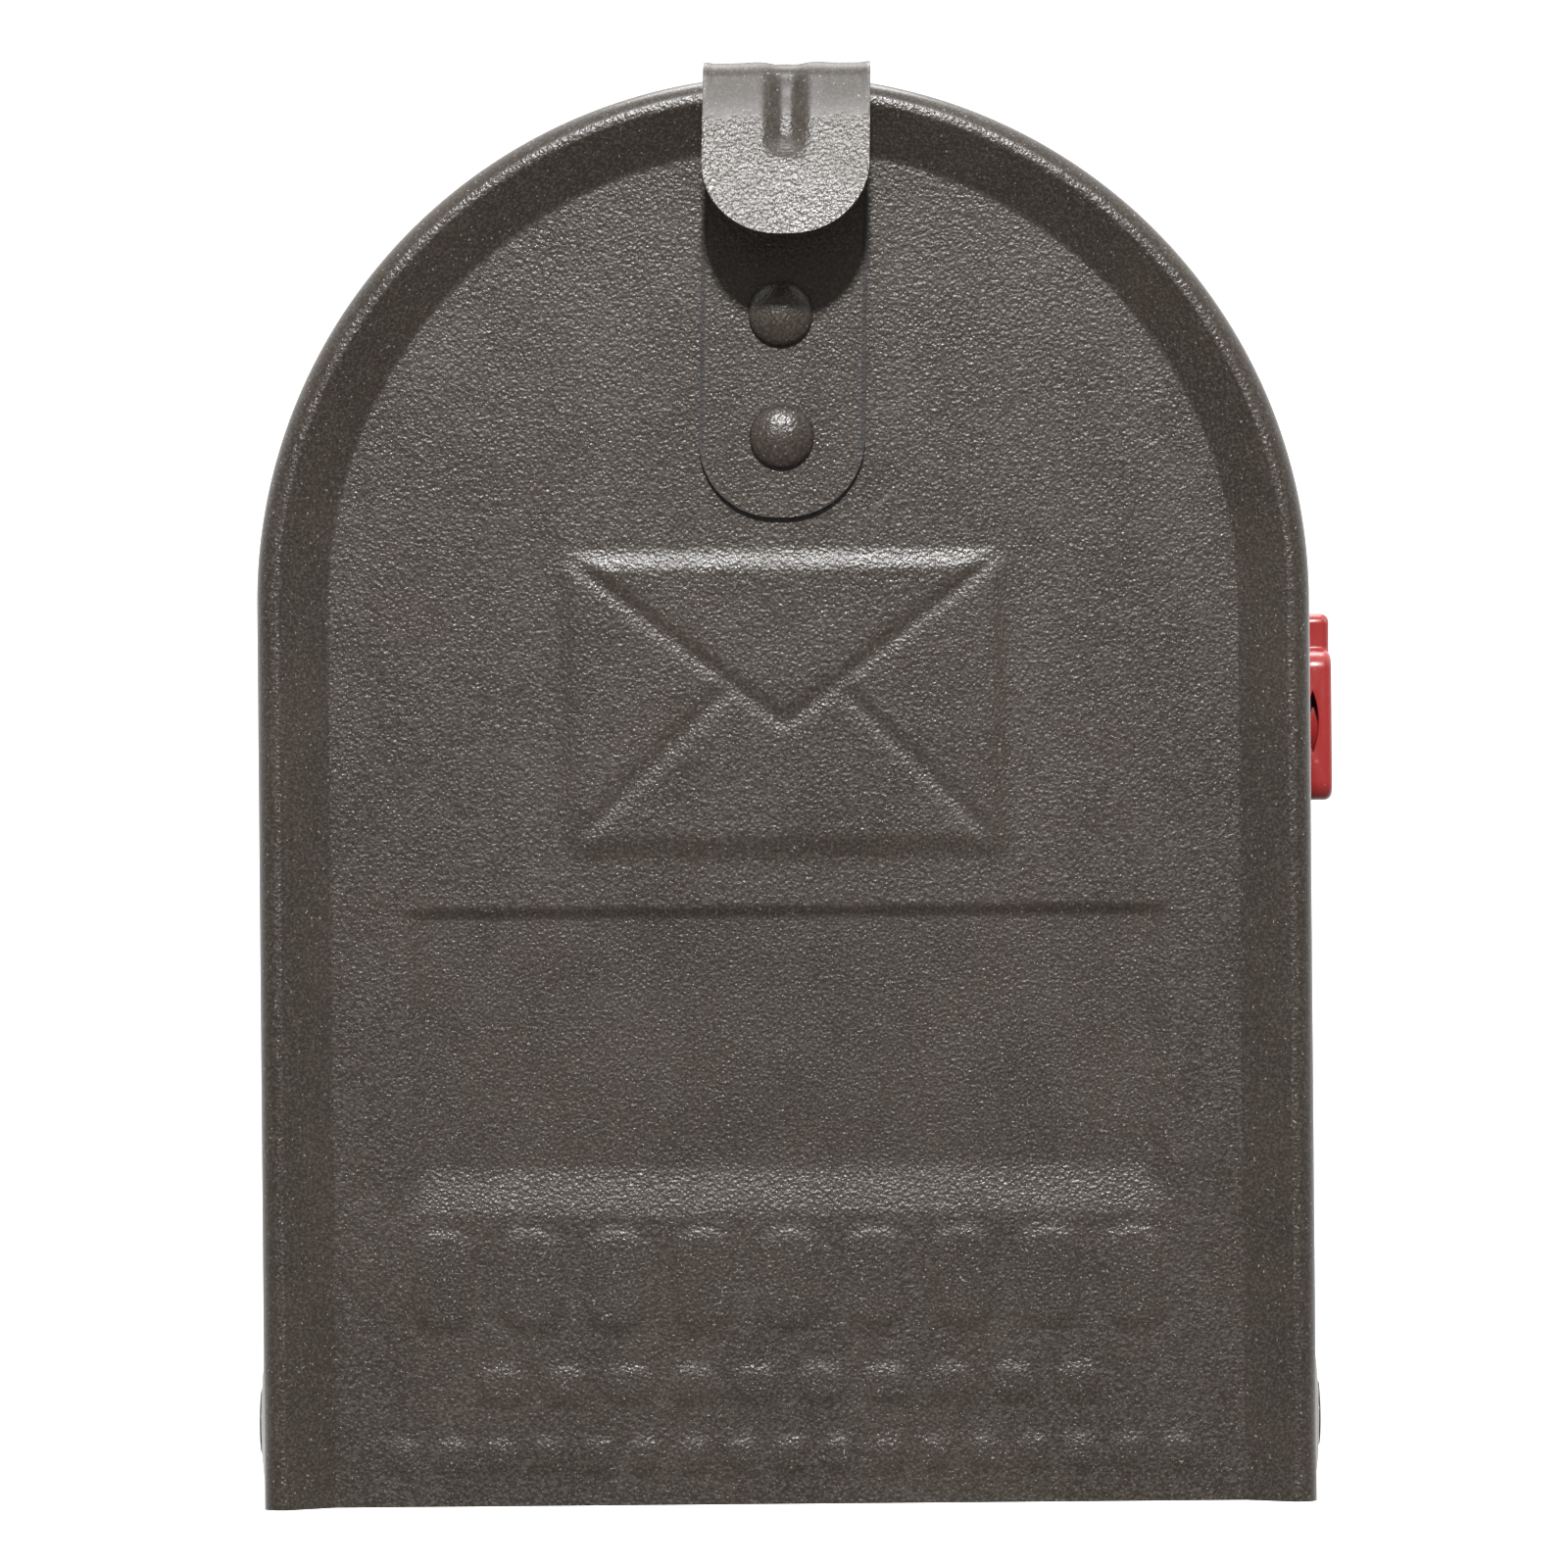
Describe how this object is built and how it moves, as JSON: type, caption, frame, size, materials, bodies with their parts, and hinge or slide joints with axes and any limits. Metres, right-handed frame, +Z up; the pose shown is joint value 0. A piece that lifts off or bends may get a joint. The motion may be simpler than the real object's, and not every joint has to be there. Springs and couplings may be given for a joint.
{
  "type": "post-mount mailbox",
  "caption": "Arch-top sheet-steel mailbox for a post, with a recessed drop-down front door, pull-tab latch, spring catch and turning red signal flag.",
  "frame": {"origin": "centre of the floor panel's underside, where the mounting board seats", "axes": "+Z up, -Y out of the front door, +X towards the signal flag"},
  "size_m": [0.1701, 0.5047, 0.2209],
  "materials": {
    "bronze_coat": "fine crinkle powder coat, dark bronze with light flecks",
    "flag_red": "moulded, semi-gloss",
    "zinc_steel": "zinc plated",
    "nylon": "natural nylon"
  },
  "bodies": {
    "body": {"body_shell": "bronze_coat", "floor_panel": "bronze_coat", "rear_panel": "bronze_coat", "hinge_rivet_left": "zinc_steel", "hinge_rivet_right": "zinc_steel", "hinge_washer_left": "nylon", "hinge_washer_right": "nylon", "floor_rivet_left_front": "bronze_coat", "floor_rivet_left_middle": "bronze_coat", "floor_rivet_left_rear": "bronze_coat", "floor_rivet_right_front": "bronze_coat", "floor_rivet_right_middle": "bronze_coat", "floor_rivet_right_rear": "bronze_coat", "rear_rivet_low_left": "bronze_coat", "rear_rivet_low_right": "bronze_coat", "rear_rivet_high_left": "bronze_coat", "rear_rivet_high_right": "bronze_coat", "rear_rivet_crown": "bronze_coat", "catch_rivet_left": "zinc_steel", "catch_rivet_right": "zinc_steel", "flag_pivot_rivet": "zinc_steel", "flag_washer": "nylon", "flag_spring_washer": "zinc_steel", "flag_backing_washer": "zinc_steel"},
    "door": {"door_panel": "bronze_coat", "latch_strap": "bronze_coat", "strap_rivet_upper": "bronze_coat", "strap_rivet_lower": "bronze_coat"},
    "catch": {"body_catch": "bronze_coat"},
    "signal_flag": {"flag": "flag_red"}
  },
  "joints": [
    {"name": "door_hinge", "type": "hinge", "parent": "body", "child": "door", "pos_m": [0, -0.2295, -0.0095], "axis": [1, 0, 0], "range_deg": [0, 98]},
    {"name": "flag_pivot", "type": "hinge", "parent": "body", "child": "signal_flag", "pos_m": [0.0845, -0.165, 0.098], "axis": [1, 0, 0], "range_deg": [0, 90]},
    {"name": "catch_flex", "type": "hinge", "parent": "body", "child": "catch", "pos_m": [0, -0.17, 0.1957], "axis": [-1, 0, 0], "range_deg": [0, 2.5], "stiffness_Nm_per_rad": 2, "springref_deg": -1.15}
  ]
}
